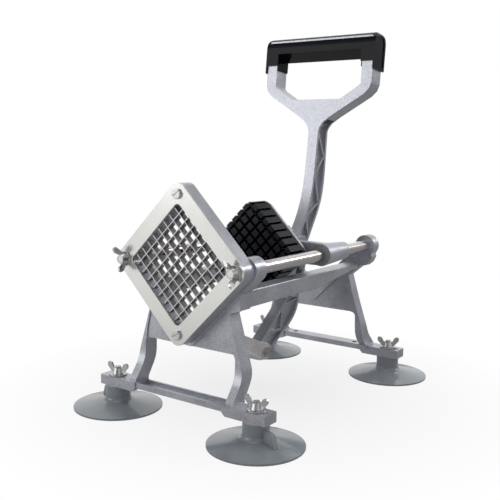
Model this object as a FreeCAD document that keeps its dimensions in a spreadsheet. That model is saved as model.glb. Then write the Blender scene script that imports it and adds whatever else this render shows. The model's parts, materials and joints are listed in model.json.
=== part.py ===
import FreeCAD, Part
import Sketcher
import math
import os
from FreeCAD import Placement, Rotation, Vector

# French fry cutter: diamond blade head, rod-guided pegged pusher, rocking lever, suction feet.
# Frame: X across, the blade head faces -Y, Z up, floor at z = 0, origin between the four feet.

os.makedirs("parts", exist_ok=True)
doc = FreeCAD.newDocument("FryCutter")

# Sizes in mm, one named cell each
SIZES = {
    "axis_z": 153.0, "rod_land": 7.42, "rod_r": 6.0, "stud_r": 3.0, "run_gap": 0.05,
    "boss_r": 11.7, "front_face_y": -125.0, "front_deep": 16.0, "rear_face_y": 103.0, "rear_deep": 12.0,
    "window_step": 1.0, "rear_window_step": 1.0, "ridge_wide": 10.7, "web_thick": 6.0, "web_sunk": 1.3,
    "leg_top_x": 47.5, "leg_top_z": 112.0, "leg_mid_x": 54.7, "leg_mid_z": 86.5,
    "leg_knee_x": 62.5, "leg_knee_z": 60.0, "leg_low_x": 63.2, "leg_low_z": 52.0,
    "leg_in_x": 54.7, "web_low_z": 74.5, "web_corner_r": 4.5, "leg_bend_r": 40.0, "foot_bend_r": 28.0,
    "foot_x": 84.8, "foot_y": 133.3, "pad_in_x": 53.0, "pad_end_x": 100.5, "pad_half_y": 9.3,
    "pad_low_z": 22.8, "pad_top_z": 32.2, "bar_half_y": 8.0, "bar_low_z": 26.2,
    "bar_hole_x": 41.2, "bar_hole_r": 3.0, "end_hole_x": 95.3, "end_hole_r": 2.3, "foot_hole_r": 3.3,
    "rail_in_x": 43.0, "rail_out_x": 59.0, "rail_low_z": 116.5, "rail_top_z": 132.5, "rail_end_z": 126.5,
    "plate_front_y": -141.4, "plate_thick": 2.0, "plate_rim": 15.0, "plate_corner_r": 10.0, "pad_corner_r": 1.2,
    "opening_half": 41.0, "opening_corner_r": 5.0, "head_recess": 4.0, "strip_pitch": 9.525,
    "strip_thick": 0.7, "strip_front_y": -139.2, "strip_deep": 7.6, "strip_lap_gap": 0.1,
    "screw_land": 7.2, "screw_head_r": 4.8, "screw_head_high": 2.8, "screw_shank_r": 2.0, "screw_turn": 30.0,
    "screw_shank_long": 11.0, "washer_thick": 1.5, "head_washer_r": 7.0, "foot_washer_r": 9.0,
    "stud_front_y": -148.5, "nut_base_r": 5.6, "nut_top_r": 4.1, "nut_high": 5.8, "wing_reach": 12.4,
    "wing_high": 11.4, "wing_thick": 1.9, "head_wing_tilt": 22.0, "foot_stud_top_z": 41.0,
    "bolt_head_r": 7.5, "bolt_head_high": 5.5, "bolt_shank_r": 2.95, "bolt_shank_long": 14.0,
    "end_washer_r": 9.0, "cup_r": 44.3, "cup_edge": 1.8, "cup_neck_r": 12.3, "cup_shoulder_z": 7.5,
    "cup_hollow": 4.2, "cup_blend": 4.0, "lug_reach": 27.0, "lug_wide": 4.6, "lug_top_z": 17.5,
    "pivot_y": -10.0, "pivot_z": 46.0, "pin_r": 4.0, "hub_r": 10.0, "hub_half": 6.9, "lever_half": 6.2,
    "lever_web_half": 2.0, "flange": 3.5, "rib_wide": 2.6, "rib_sunk": 0.7,
    "cheek_in_x": 7.2, "cheek_thick": 4.0, "cheek_end_r": 9.0, "strut_front_z": 96.0,
    "strut_bend_y": -52.0, "strut_bend_z": 72.5, "strut_high": 11.6, "strut_floor": 3.0,
    "strut_lip": 3.3, "strut_floor_y": -26.0, "pin_head_r": 5.3, "pin_head_high": 3.5,
    "boss_front_y": 5.0, "boss_long": 47.0, "boss_rear_r": 9.2, "bush_r": 7.6, "bush_flange_r": 10.6,
    "bush_flange": 1.6, "block_step": 1.5, "block_corner_r": 8.8,
    "block_front_y": -28.0, "block_base": 4.5, "block_back_y": -2.5, "peg_gap": 2.7,
    "back_step": 2.0, "back_corner_r": 11.0, "back_rear_y": 1.5, "arm_high": 22.6, "arm_deep": 12.0,
    "pad_rear_y": 9.6, "pad_half_x": 29.0, "pad_half_z": 27.0,
    "yoke_in_x": 8.5, "yoke_thick": 5.0, "yoke_wall": 5.0, "yoke_reach_r": 106.0, "roller_r": 6.0, "roller_gap": 0.6,
    "rest_lean": 35.1, "back_swing": 18.5, "fore_swing": 58.7, "travel_per_rad": 103.35,
    "handle_lean": 5.48, "handle_y": 93.8, "handle_z": 280.0, "handle_deep": 21.0, "arm_out_x": 68.5,
    "arm_in_x": 55.5, "bar_low": 92.0, "grip_end_x": 70.5, "grip_lip": 84.5, "grip_cap": 67.4,
    "grip_lining": 70.5, "grip_high": 108.5, "grip_deep": 26.0, "grip_front": 1.8, "grip_corner_r": 6.0,
    "grip_under_front": 89.2, "grip_under_rear": 81.6, "grip_recess": 0.8, "grip_rim": 3.6,
}

sheet = doc.addObject("Spreadsheet::Sheet", "Sizes")
for row, (name, value) in enumerate(SIZES.items(), start=1):
    sheet.set(f"A{row}", name)
    sheet.set(f"B{row}", str(value))
    sheet.setAlias(f"B{row}", name)
doc.recompute()


class Size:
    """A length that carries both its number and the sheet expression it comes from."""

    def __init__(self, text, value):
        self.text = text
        self.value = value

    def __add__(self, other):
        other = as_size(other)
        return Size(f"({self.text} + {other.text})", self.value + other.value)

    def __sub__(self, other):
        other = as_size(other)
        return Size(f"({self.text} - {other.text})", self.value - other.value)

    def __mul__(self, other):
        other = as_size(other)
        return Size(f"({self.text} * {other.text})", self.value * other.value)

    def __truediv__(self, other):
        other = as_size(other)
        return Size(f"({self.text} / {other.text})", self.value / other.value)

    def __radd__(self, other):
        return as_size(other) + self

    def __rsub__(self, other):
        return as_size(other) - self

    def __rmul__(self, other):
        return as_size(other) * self

    def __neg__(self):
        return Size(f"(0 - {self.text})", -self.value)


def as_size(number):
    return number if isinstance(number, Size) else Size(f"{number:.6g}", float(number))


def num(number):
    return as_size(number).value


class Named:
    """Reads a sheet cell by its alias."""

    def __getattr__(self, alias):
        return Size(f"Sizes.{alias}", float(sheet.get(alias)))


s = Named()
ROOT2 = math.sqrt(2)

# Sizes that follow from the square opening
s.rod_x = s.opening_half * ROOT2 + s.rod_land
s.screw_reach = s.opening_half * ROOT2 + s.screw_land
s.plate_half = s.opening_half + s.plate_rim
s.window_half = s.opening_half + s.window_step
s.rear_window_half = s.opening_half - s.rear_window_step
s.rear_ridge_half = s.rear_window_half + s.ridge_wide
s.block_half = s.opening_half - s.block_step
s.back_half = s.opening_half - s.back_step


def bind(item, prop, size):
    size = as_size(size)
    item.setExpression(prop, size.text)


def place(item, x, y, z, rotation=None):
    item.Placement = Placement(Vector(num(x), num(y), num(z)), rotation or Rotation())
    bind(item, "Placement.Base.x", x)
    bind(item, "Placement.Base.y", y)
    bind(item, "Placement.Base.z", z)
    return item


ALONG = {
    "x": Rotation(Vector(0, 1, 0), 90),
    "y": Rotation(Vector(1, 0, 0), -90),
    "z": Rotation(),
}


def box(name, x, y, z):
    item = doc.addObject("Part::Box", name)
    bind(item, "Length", as_size(x[1]) - x[0])
    bind(item, "Width", as_size(y[1]) - y[0])
    bind(item, "Height", as_size(z[1]) - z[0])
    return place(item, x[0], y[0], z[0])


def cylinder(name, axis, radius, start, length):
    item = doc.addObject("Part::Cylinder", name)
    bind(item, "Radius", radius)
    bind(item, "Height", length)
    return place(item, *start, ALONG[axis])


def cone(name, axis, low_r, high_r, start, length):
    item = doc.addObject("Part::Cone", name)
    bind(item, "Radius1", low_r)
    bind(item, "Radius2", high_r)
    bind(item, "Height", length)
    return place(item, *start, ALONG[axis])


def ring(name, axis, outer, inner, start, length):
    return cut(name, cylinder(name + "_out", axis, outer, start, length),
               [cylinder(name + "_in", axis, inner, start, length)])


def fuse(name, items):
    item = doc.addObject("Part::MultiFuse", name)
    item.Shapes = items
    item.Refine = True
    return item


def group(name, items):
    item = doc.addObject("Part::Compound", name)
    item.Links = items
    return item


def cut(name, base, tools):
    item = doc.addObject("Part::Cut", name)
    item.Base = base
    item.Tool = tools[0] if len(tools) == 1 else fuse(name + "_tools", tools)
    item.Refine = True
    return item


def common(name, first, second):
    item = doc.addObject("Part::Common", name)
    item.Base = first
    item.Tool = second
    return item


def draw(sketch, points):
    """Closed outline whose every corner is pinned to sheet sizes."""
    corners = [Vector(num(a), num(b), 0) for a, b in points]
    first = sketch.GeometryCount
    count = len(points)
    for k in range(count):
        sketch.addGeometry(Part.LineSegment(corners[k], corners[(k + 1) % count]), False)
    for k in range(count):
        line = first + k
        sketch.addConstraint(Sketcher.Constraint("Coincident", line, 2, first + (k + 1) % count, 1))
    for k, (a, b) in enumerate(points):
        for kind, size in (("DistanceX", a), ("DistanceY", b)):
            index = sketch.addConstraint(Sketcher.Constraint(kind, -1, 1, first + k, 1, num(size)))
            if isinstance(size, Size):
                sketch.setExpression(f"Constraints[{index}]", size.text)


def body_plate(name, plane, points, low, high):
    """PartDesign body: one outline padded from low to high along the plane's own axis."""
    body = doc.addObject("PartDesign::Body", name)
    role = {"xy": "XY_Plane", "xz": "XZ_Plane", "yz": "YZ_Plane"}[plane]
    support = [o for o in body.Origin.OriginFeatures if o.Role == role][0]
    sketch = body.newObject("Sketcher::SketchObject", name + "_sketch")
    sketch.AttachmentSupport = [(support, "")]
    sketch.MapMode = "FlatFace"
    low, high = as_size(low), as_size(high)
    start = -high if plane == "xz" else low
    sketch.AttachmentOffset = Placement(Vector(0, 0, start.value), Rotation())
    sketch.setExpression("AttachmentOffset.Base.z", start.text)
    draw(sketch, points)
    pad = body.newObject("PartDesign::Pad", name + "_pad")
    pad.Profile = sketch
    pad.setExpression("Length", (high - low).text)
    body.Tip = pad
    sketch.Visibility = False
    return body


def round_edges(name, item, radius, wanted):
    doc.recompute()
    item_edges = [k + 1 for k, e in enumerate(item.Shape.Edges) if wanted(e)]
    fillet = doc.addObject("Part::Fillet", name)
    fillet.Base = item
    fillet.Edges = [(k, num(radius), num(radius)) for k in item_edges]
    return fillet


def runs_along(axis, test):
    def wanted(edge):
        if not isinstance(edge.Curve, (Part.Line, Part.LineSegment)):
            return False
        way = edge.tangentAt(edge.FirstParameter)
        mid = edge.valueAt((edge.FirstParameter + edge.LastParameter) / 2)
        return abs(getattr(way, axis)) > 0.999 and test(mid)
    return wanted


def mirrored(points):
    """Right half outline from bottom centre to top centre, closed with its mirror."""
    left = [(-as_size(a), b) for a, b in reversed(points) if num(a) != 0]
    return points + left


finished = []


def node(label, item):
    item.Label = label
    finished.append((label, item))
    return item


# Front and rear frames: shared front view of a V seat, web and splayed legs
boss_edge = s.boss_r / ROOT2
seat_rise = s.axis_z - s.rod_x - boss_edge * 2
leg_end_z = s.pad_top_z - 2.2
bar_end_x = s.pad_in_x + 4


def frame_outline(inner_half, shoulder):
    apex = s.axis_z - inner_half * ROOT2
    return mirrored([
        (0, s.web_low_z), (s.leg_in_x, s.web_low_z), (s.leg_in_x, leg_end_z), (s.leg_low_x, leg_end_z),
        (s.leg_low_x, s.leg_low_z), (s.leg_knee_x, s.leg_knee_z), (s.leg_mid_x, s.leg_mid_z)] + shoulder + [
        (s.rod_x + boss_edge, s.axis_z - boss_edge), (s.rod_x, s.axis_z),
        (s.axis_z - apex, s.axis_z), (0, apex)])


def frame_solid(name, inner_half, shoulder, side_view):
    """Where the front view and the side view of a frame meet, with its bends rounded."""
    reach = num(s.foot_y) + 20
    front_view = body_plate(f"{name}_front_view", "xz", frame_outline(inner_half, shoulder), -reach, reach)
    front_view = round_edges(f"{name}_web_corners", front_view, s.web_corner_r, runs_along(
        "y", lambda m: abs(abs(m.x) - num(s.leg_in_x)) < 0.1 and abs(m.z - num(s.web_low_z)) < 0.1))
    front_view = round_edges(f"{name}_leg_bends", front_view, s.leg_bend_r, runs_along(
        "y", lambda m: abs(m.x) > num(s.leg_mid_x) - 0.1 and num(s.leg_low_z) - 0.1 < m.z < num(s.leg_mid_z) + 0.1))
    profile = body_plate(f"{name}_side_view", "yz", side_view, -s.rod_x - 14, s.rod_x + 14)
    profile = round_edges(f"{name}_foot_bends", profile, s.foot_bend_r, runs_along(
        "x", lambda m: num(s.pad_top_z) + 8 < m.z < num(s.leg_knee_z) + 8))
    return common(f"{name}_profile", front_view, profile)


def base_and_pads(name, end, bores):
    """Base bar, foot pads and bores, at the front (end -1) or rear (end +1)."""
    row = s.foot_y * end
    solids = [box(f"{name}_bar", (-bar_end_x, bar_end_x), (row - s.bar_half_y, row + s.bar_half_y),
                  (s.bar_low_z, s.pad_top_z))]
    holes = []
    for side, word in ((-1, "left"), (1, "right")):
        pad = body_plate(f"{name}_pad_block_{word}", "xz", [
            (side * s.pad_in_x, s.bar_low_z), (side * (s.pad_in_x + 3.5), s.pad_low_z),
            (side * s.pad_end_x, s.pad_low_z), (side * s.pad_end_x, s.pad_top_z),
            (side * s.pad_in_x, s.pad_top_z)], row - s.pad_half_y, row + s.pad_half_y)
        solids.append(round_edges(f"{name}_pad_{word}", pad, s.pad_corner_r, runs_along("z", lambda m: abs(m.x) > 90)))
        for k, (reach, radius) in enumerate(bores):
            holes.append(cylinder(f"{name}_hole_{word}_{k}", "z", radius, (side * reach, row, s.pad_low_z - 1),
                                  s.pad_top_z - s.pad_low_z + 2))
    return solids, holes


# Front frame: the V seat behind the head, its webs, legs and base bar
front_rear_y = s.front_face_y + s.front_deep
foot_bore = (s.foot_x, s.foot_hole_r)
shoulder = [(s.leg_top_x, s.leg_top_z - 1.5), (s.leg_top_x + 2.5, s.leg_top_z + 0.5),
            (s.rail_out_x + 0.5, s.rail_low_z - 0.7), (s.rail_out_x + 0.5, seat_rise + s.rail_out_x + 0.5)]
front_parts, front_cuts = base_and_pads("front", -1, [foot_bore])
front_parts.append(frame_solid("front", s.window_half, shoulder, [
    (s.front_face_y, s.axis_z + 1), (s.front_face_y, s.leg_low_z + 1), (-s.foot_y - 5.7, leg_end_z + 4),
    (-s.foot_y - 5.7, leg_end_z), (-s.foot_y + 12.5, leg_end_z), (-s.foot_y + 12.5, leg_end_z + 4),
    (front_rear_y, s.leg_low_z + 1), (front_rear_y, s.axis_z + 1)]))
web_skin = (s.front_deep - s.web_thick) / 2
for side, word in ((-1, "left"), (1, "right")):
    front_parts.append(cylinder(f"front_boss_{word}", "y", s.boss_r,
                                (side * s.rod_x, s.front_face_y, s.axis_z), s.front_deep))
    front_cuts.append(cylinder(f"front_bore_{word}", "y", s.rod_r + s.run_gap,
                               (side * s.rod_x, s.front_face_y - 1, s.axis_z), s.front_deep + 2))
    pocket = [(side * 1.2, s.web_low_z - 3), (side * (s.leg_top_x - 3), seat_rise + s.leg_top_x - 3),
              (side * (s.leg_in_x - 5), s.leg_mid_z - 4), (side * (s.leg_in_x - 4.4), s.web_low_z - 3)]
    front_cuts.append(body_plate(f"front_pocket_face_{word}", "xz", [
        (side * 1.2, s.web_low_z - 3), (side * (s.leg_top_x - 2), seat_rise + s.leg_top_x - 4),
        (side * (s.leg_mid_x - 2.6), s.leg_mid_z), (side * (s.leg_in_x - 0.8), s.web_low_z - 3)],
        s.front_face_y - 1, s.front_face_y + s.web_sunk))
    front_cuts.append(body_plate(f"front_pocket_back_{word}", "xz", pocket,
                                 front_rear_y - web_skin, front_rear_y + 1))
node("front_frame", cut("front_frame", fuse("front_frame_solid", front_parts), front_cuts))

# Rear frame: an open V the lever swings back through, two rod ears, legs that lean back
rear_back_y = s.rear_face_y + s.rear_deep
rear_parts, rear_cuts = base_and_pads("rear", 1, [foot_bore, (s.bar_hole_x, s.bar_hole_r), (s.end_hole_x, s.end_hole_r)])
ear_lobe = [(s.leg_top_x - 1, seat_rise + s.leg_top_x - 1), (s.rod_x - 4, s.axis_z - 23), (s.rod_x + 1.5, s.axis_z - 22.4),
            (s.rod_x + 6.2, s.axis_z - 18.5), (s.rod_x + 9.2, s.axis_z - 12)]
rear_parts.append(frame_solid("rear", s.rear_window_half, ear_lobe, [
    (s.rear_face_y, s.axis_z + 1), (s.rear_face_y, 100), (s.rear_face_y + 3.5, s.leg_knee_z + 2),
    (s.rear_face_y + 4, s.leg_low_z - 5), (s.foot_y - 13, leg_end_z + 3), (s.foot_y - 13, leg_end_z),
    (s.foot_y + 7, leg_end_z), (s.foot_y + 7, leg_end_z + 3), (s.rear_face_y + 19.5, s.leg_low_z - 2),
    (rear_back_y + 4, s.leg_knee_z + 6), (rear_back_y, 118), (rear_back_y, s.axis_z + 1)]))
web_lean = [(s.web_low_z - 12, 5.0), (s.axis_z - 30, s.web_sunk)]
rear_pocket = mirrored([
    (0, s.web_low_z - 6), (s.leg_in_x - 4.9, s.web_low_z - 6), (s.leg_in_x - 4.9, s.web_low_z),
    (s.leg_mid_x - 7.7, s.leg_mid_z), (38, s.axis_z - s.rear_ridge_half * ROOT2 + 38),
    (0, s.axis_z - s.rear_ridge_half * ROOT2)])
for word, near, far in (("face", -8, 0), ("back", s.rear_deep + 12, s.web_thick)):
    rear_cuts.append(common(
        f"rear_pocket_{word}",
        body_plate(f"rear_pocket_view_{word}", "xz", rear_pocket, s.rear_face_y - 9, rear_back_y + 9),
        body_plate(f"rear_pocket_lean_{word}", "yz", [
            (s.rear_face_y + near, web_lean[0][0]), (s.rear_face_y + far + web_lean[0][1], web_lean[0][0]),
            (s.rear_face_y + far + web_lean[1][1], web_lean[1][0]), (s.rear_face_y + near, web_lean[1][0])],
            -s.rod_x, s.rod_x)))
for side, word in ((-1, "left"), (1, "right")):
    rear_parts.append(cylinder(f"rear_ear_{word}", "y", s.boss_r,
                               (side * s.rod_x, s.rear_face_y, s.axis_z), s.rear_deep))
    rear_cuts.append(cylinder(f"rear_bore_{word}", "y", s.rod_r + s.run_gap,
                              (side * s.rod_x, s.rear_face_y - 1, s.axis_z), s.rear_deep + 2))
node("rear_frame", cut("rear_frame", fuse("rear_frame_solid", rear_parts), rear_cuts))

# Side rails under the guide rods, tapering towards the rear
for side, word in ((-1, "left"), (1, "right")):
    ends = sorted((side * s.rail_in_x, side * s.rail_out_x), key=num)
    rail = body_plate(f"rail_bar_{word}", "yz", [
        (front_rear_y, s.rail_top_z), (s.rear_face_y, s.rail_top_z), (s.rear_face_y, s.rail_end_z),
        (s.rear_face_y - 18, s.rail_end_z - 0.5), (15, s.rail_low_z), (front_rear_y, s.rail_low_z)], *ends)
    node(f"side_rail_{word}", round_edges(
        f"side_rail_{word}", rail, 1.2, runs_along("y", lambda m: abs(m.z - num(s.rail_top_z)) < 0.01)))

# Pivot strut: a channel from the front web down to the lever's pivot
strut_top = [(front_rear_y, s.strut_front_z), (s.strut_bend_y, s.strut_bend_z),
             (s.pivot_y - 5, s.pivot_z + s.cheek_end_r + 1.5), (s.pivot_y - 1, s.pivot_z + s.cheek_end_r)]
strut_low = [(s.pivot_y - 1, s.pivot_z - s.cheek_end_r), (s.pivot_y - 7, s.pivot_z - s.cheek_end_r + 1.6),
             (front_rear_y, s.strut_front_z - s.strut_high)]
strut_parts = []
for side, word in ((-1, "left"), (1, "right")):
    ends = sorted((side * s.cheek_in_x, side * (s.cheek_in_x + s.cheek_thick)), key=num)
    strut_parts.append(body_plate(f"strut_cheek_{word}", "yz",
                                  strut_top + [(s.pivot_y, s.pivot_z)] + strut_low, *ends))
    strut_parts.append(cylinder(f"strut_end_{word}", "x", s.cheek_end_r,
                                (ends[0], s.pivot_y, s.pivot_z), s.cheek_thick))
slope = (strut_low[2][1] - strut_low[1][1]) / (strut_low[1][0] - strut_low[2][0])
floor_rear_z = strut_low[1][1] + slope * (strut_low[1][0] - s.strut_floor_y)
lip_x = s.cheek_in_x + s.cheek_thick + s.strut_lip
strut_parts.append(body_plate("strut_floor", "yz", [
    (front_rear_y, strut_low[2][1] + 1), (s.strut_floor_y, floor_rear_z + 1),
    (s.strut_floor_y, floor_rear_z - s.strut_floor), (front_rear_y, strut_low[2][1] - s.strut_floor)],
    -lip_x, lip_x))
node("pivot_strut", cut("pivot_strut", fuse("pivot_strut_solid", strut_parts), [
    cylinder("strut_bore", "x", s.pin_r + s.run_gap, (-20, s.pivot_y, s.pivot_z), 40)]))

# Blade head: cast frame, cover plate and two sets of half-lapped strips
square_turn = Rotation(Vector(0, 1, 0), 45)


def square_plate(name, half, corner, low, high):
    """Rounded square standing on its corner, between two Y planes."""
    plate = doc.addObject("Part::Box", name + "_square")
    bind(plate, "Length", half * 2)
    bind(plate, "Width", as_size(high) - low)
    bind(plate, "Height", half * 2)
    reach = half * ROOT2
    place(plate, -reach, low, s.axis_z, square_turn)
    return round_edges(name, plate, corner, runs_along("y", lambda m: True))


def head_axis(k):
    """Centre of a round corner stud or screw: right, top, left, bottom."""
    across = (1, 0, -1, 0)[k]
    rise = (0, 1, 0, -1)[k]
    reach = s.rod_x if k % 2 == 0 else s.screw_reach
    return across * reach, s.axis_z + rise * reach


plate_rear_y = s.plate_front_y + s.plate_thick
strip_half = s.opening_half + s.head_recess
strip_rear_y = s.strip_front_y + s.strip_deep
span = range(8)


def strip_offset(k):
    return (k - 3.5) * s.strip_pitch


def tilted_box(name, along, across, y, turn):
    """Box in the diamond's own directions: along and across are (low, high) pairs from its centre."""
    item = doc.addObject("Part::Box", name)
    bind(item, "Length", as_size(along[1]) - along[0])
    bind(item, "Width", as_size(y[1]) - y[0])
    bind(item, "Height", as_size(across[1]) - across[0])
    a, c = as_size(along[0]), as_size(across[0])
    cosine, sine = math.cos(math.radians(turn)), math.sin(math.radians(turn))
    return place(item, a * cosine + c * sine, y[0], s.axis_z - a * sine + c * cosine,
                 Rotation(Vector(0, 1, 0), turn))


head_cuts = [square_plate("head_opening", s.opening_half, s.opening_corner_r, plate_rear_y - 1, s.front_face_y + 1)]
cover_cuts = [square_plate("cover_opening", s.opening_half, s.opening_corner_r, s.plate_front_y - 1, plate_rear_y + 1)]
slot_half = s.strip_thick / 2 + 0.1
for turn in (45, -45):
    for k in span:
        middle = strip_offset(k)
        head_cuts.append(tilted_box(f"strip_slot_{turn + 45}_{k}", (-(strip_half + 0.2), strip_half + 0.2),
                                    (middle - slot_half, middle + slot_half),
                                    (plate_rear_y - 1, strip_rear_y), turn))
for k in range(4):
    x, z = head_axis(k)
    hole = s.stud_r + 0.3 if k % 2 == 0 else s.screw_shank_r
    head_cuts.append(cylinder(f"head_hole_{k}", "y", hole, (x, plate_rear_y - 1, z),
                              s.front_face_y - plate_rear_y + 2))
    cover_cuts.append(cylinder(f"cover_hole_{k}", "y", hole, (x, s.plate_front_y - 1, z), s.plate_thick + 2))
node("blade_head_frame", cut("blade_head_frame", square_plate(
    "head_block", s.plate_half, s.plate_corner_r, plate_rear_y, s.front_face_y), head_cuts))
node("blade_cover_plate", cut("blade_cover_plate", square_plate(
    "cover_block", s.plate_half, s.plate_corner_r, s.plate_front_y, plate_rear_y), cover_cuts))

strip_mid_y = s.strip_front_y + s.strip_deep / 2
notch = s.strip_thick / 2 + s.strip_lap_gap
for word, turn, notch_y in (("rising", -45, (strip_mid_y - s.strip_lap_gap, strip_rear_y + 1)),
                            ("falling", 45, (s.strip_front_y - 1, strip_mid_y + s.strip_lap_gap))):
    strips = []
    for k in span:
        middle = strip_offset(k)
        strip = tilted_box(f"{word}_strip_{k}", (-strip_half, strip_half),
                           (middle - s.strip_thick / 2, middle + s.strip_thick / 2),
                           (s.strip_front_y, strip_rear_y), turn)
        laps = [tilted_box(f"{word}_lap_{k}_{n}", (strip_offset(n) - notch, strip_offset(n) + notch),
                           (middle - 2, middle + 2), notch_y, turn) for n in span]
        strips.append(cut(f"{word}_blade_{k}", strip, laps))
    node(f"blade_strips_{word}", group(f"blade_strips_{word}", strips))

cover_screws = []
for k in (1, 3):
    x, z = head_axis(k)
    top = s.plate_front_y - s.screw_head_high
    head = cylinder(f"screw_head_{k}", "y", s.screw_head_r, (x, top, z), s.screw_head_high)
    shank = cylinder(f"screw_shank_{k}", "y", s.screw_shank_r, (x, s.plate_front_y - 0.5, z), s.screw_shank_long)
    slot_turn = num(s.screw_turn)
    slot = box(f"screw_slot_{k}", (-8, 8), (top - 1, top + 1.1), (0, 1.3))
    rise = math.radians(slot_turn)
    place(slot, -8 * math.cos(rise) + 0.65 * math.sin(rise), top - 1, z - 8 * math.sin(rise) - 0.65 * math.cos(rise),
          Rotation(Vector(0, 1, 0), -slot_turn))
    cover_screws.append(cut(f"cover_screw_{k}", fuse(f"screw_{k}", [head, shank]), [slot]))
node("cover_screws", group("cover_screws", cover_screws))

# Guide rods with reduced front studs, rear washers and hex bolts
rear_bolt_y = rear_back_y + s.washer_thick
end_washers = []
end_bolts = []
head_washers = []
for word, side in (("left", -1), ("right", 1)):
    x = side * s.rod_x
    rod = fuse(f"rod_{word}", [
        cylinder(f"rod_body_{word}", "y", s.rod_r, (x, s.front_face_y, s.axis_z), rear_back_y - s.front_face_y),
        cylinder(f"rod_stud_{word}", "y", s.stud_r, (x, s.stud_front_y, s.axis_z), s.front_face_y - s.stud_front_y + 1)])
    node(f"guide_rod_{word}", cut(f"guide_rod_{word}", rod, [
        cylinder(f"rod_tap_{word}", "y", s.stud_r, (x, rear_back_y - s.bolt_shank_long - 2, s.axis_z),
                 s.bolt_shank_long + 3)]))
    end_washers.append(ring(f"end_washer_{word}", "y", s.end_washer_r, s.stud_r + 0.3,
                            (x, rear_back_y, s.axis_z), s.washer_thick))
    head = doc.addObject("Part::Prism", f"bolt_hex_{word}")
    head.Polygon = 6
    bind(head, "Circumradius", s.bolt_head_r)
    bind(head, "Height", s.bolt_head_high)
    place(head, x, rear_bolt_y, s.axis_z, ALONG["y"])
    end_bolts.append(fuse(f"end_bolt_{word}", [head, cylinder(
        f"bolt_shank_{word}", "y", s.bolt_shank_r,
        (x, rear_back_y - s.bolt_shank_long, s.axis_z), s.bolt_shank_long + s.washer_thick + 1)]))
    head_washers.append(ring(f"head_washer_{word}", "y", s.head_washer_r, s.stud_r + s.run_gap,
                             (x, s.plate_front_y - s.washer_thick, s.axis_z), s.washer_thick))
node("rod_end_washers", group("rod_end_washers", end_washers))
node("rod_end_bolts", group("rod_end_bolts", end_bolts))
node("head_washers", group("head_washers", head_washers))


def wing_nut(name):
    """Wing nut standing on the origin along +Z, wings along X."""
    hub = cone(f"{name}_hub", "z", s.nut_base_r, s.nut_top_r, (0, 0, 0), s.nut_high)
    wings = []
    for side in (-1, 1):
        word = "a" if side < 0 else "b"
        wing = body_plate(f"{name}_wing_{word}", "xz", [
            (side * 2.5, 0.6), (side * (s.nut_base_r + 1.2), 0.9), (side * (s.wing_reach - 0.5), 6.6),
            (side * s.wing_reach, s.wing_high - 2.2), (side * (s.wing_reach - 1.7), s.wing_high),
            (side * (s.wing_reach - 5.0), s.wing_high - 1.0), (side * (s.nut_top_r + 0.6), 5.4),
            (side * 2.5, 5.2)], -s.wing_thick / 2, s.wing_thick / 2)
        wings.append(round_edges(f"{name}_ear_{word}", wing, 1.2, runs_along(
            "y", lambda m: m.z > num(s.wing_high) - 3)))
    return cut(name, fuse(f"{name}_solid", [hub] + wings),
               [cylinder(f"{name}_bore", "z", s.stud_r + s.run_gap, (0, 0, -1), s.wing_high + 2)])


def seat_nut(label, x, y, z, rotation):
    nut = wing_nut(label)
    return node(label, place(nut, x, y, z, rotation))


facing = Rotation(Vector(1, 0, 0), 90)
for word, side in (("left", -1), ("right", 1)):
    turned = Rotation(Vector(0, 1, 0), -90 + -num(s.head_wing_tilt)) * facing
    seat_nut(f"head_wing_nut_{word}", side * s.rod_x, s.plate_front_y - s.washer_thick, s.axis_z, turned)

# Feet: suction cups, studs, washers and wing nuts
FEET = (("front_left", -1, -1, 8, 165), ("front_right", 1, -1, 0, -15),
        ("rear_left", -1, 1, -14, 100), ("rear_right", 1, 1, 24, 120))
foot_washers = []
foot_studs = []
for word, side, end, wing_turn, lug_turn in FEET:
    x, y = side * s.foot_x, end * s.foot_y
    dome = doc.addObject("Part::Feature", f"cup_dome_{word}")
    neck_r, blend, shoulder_z = num(s.cup_neck_r), num(s.cup_blend), num(s.cup_shoulder_z)
    low = [Vector(neck_r, 0, shoulder_z + blend), Vector(neck_r, 0, num(s.pad_low_z)), Vector(0, 0, num(s.pad_low_z)),
           Vector(0, 0, num(s.cup_hollow)), Vector(neck_r, 0, num(s.cup_hollow)), Vector(num(s.cup_r) - 2.5, 0, 0),
           Vector(num(s.cup_r), 0, 0), Vector(num(s.cup_r), 0, num(s.cup_edge)), Vector(neck_r + blend, 0, shoulder_z)]
    neck_blend = Part.Arc(low[-1], Vector(neck_r + blend * 0.33, 0, shoulder_z + blend * 0.27), low[0]).toShape()
    profile = Part.Wire(Part.makePolygon(low).Edges + [neck_blend])
    dome.Shape = Part.Face(profile).revolve(Vector(0, 0, 0), Vector(0, 0, 1), 360)
    place(dome, x, y, 0)
    lug = body_plate(f"cup_lug_{word}", "xz", [
        (s.cup_neck_r - 2, s.cup_hollow + 0.8), (s.lug_reach, 3.4), (s.lug_reach, 6),
        (s.lug_reach - 3.5, s.lug_top_z - 2), (s.lug_reach - 6, s.lug_top_z),
        (s.cup_neck_r - 2, s.lug_top_z)], -s.lug_wide / 2, s.lug_wide / 2)
    place(lug, x, y, 0, Rotation(Vector(0, 0, 1), lug_turn))
    seat = cylinder(f"cup_seat_{word}", "z", s.stud_r, (x, y, s.pad_low_z - 12), 20)
    node(f"suction_cup_{word}", cut(f"suction_cup_{word}", fuse(f"cup_{word}", [dome, lug]), [seat]))
    foot_studs.append(cylinder(f"foot_stud_{word}", "z", s.stud_r, (x, y, s.pad_low_z - 12),
                               s.foot_stud_top_z - s.pad_low_z + 12))
    foot_washers.append(ring(f"foot_washer_{word}", "z", s.foot_washer_r, s.stud_r + s.run_gap,
                             (x, y, s.pad_top_z), s.washer_thick))
    seat_nut(f"foot_wing_nut_{word}", x, y, s.pad_top_z + s.washer_thick, Rotation(Vector(0, 0, 1), wing_turn))
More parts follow.
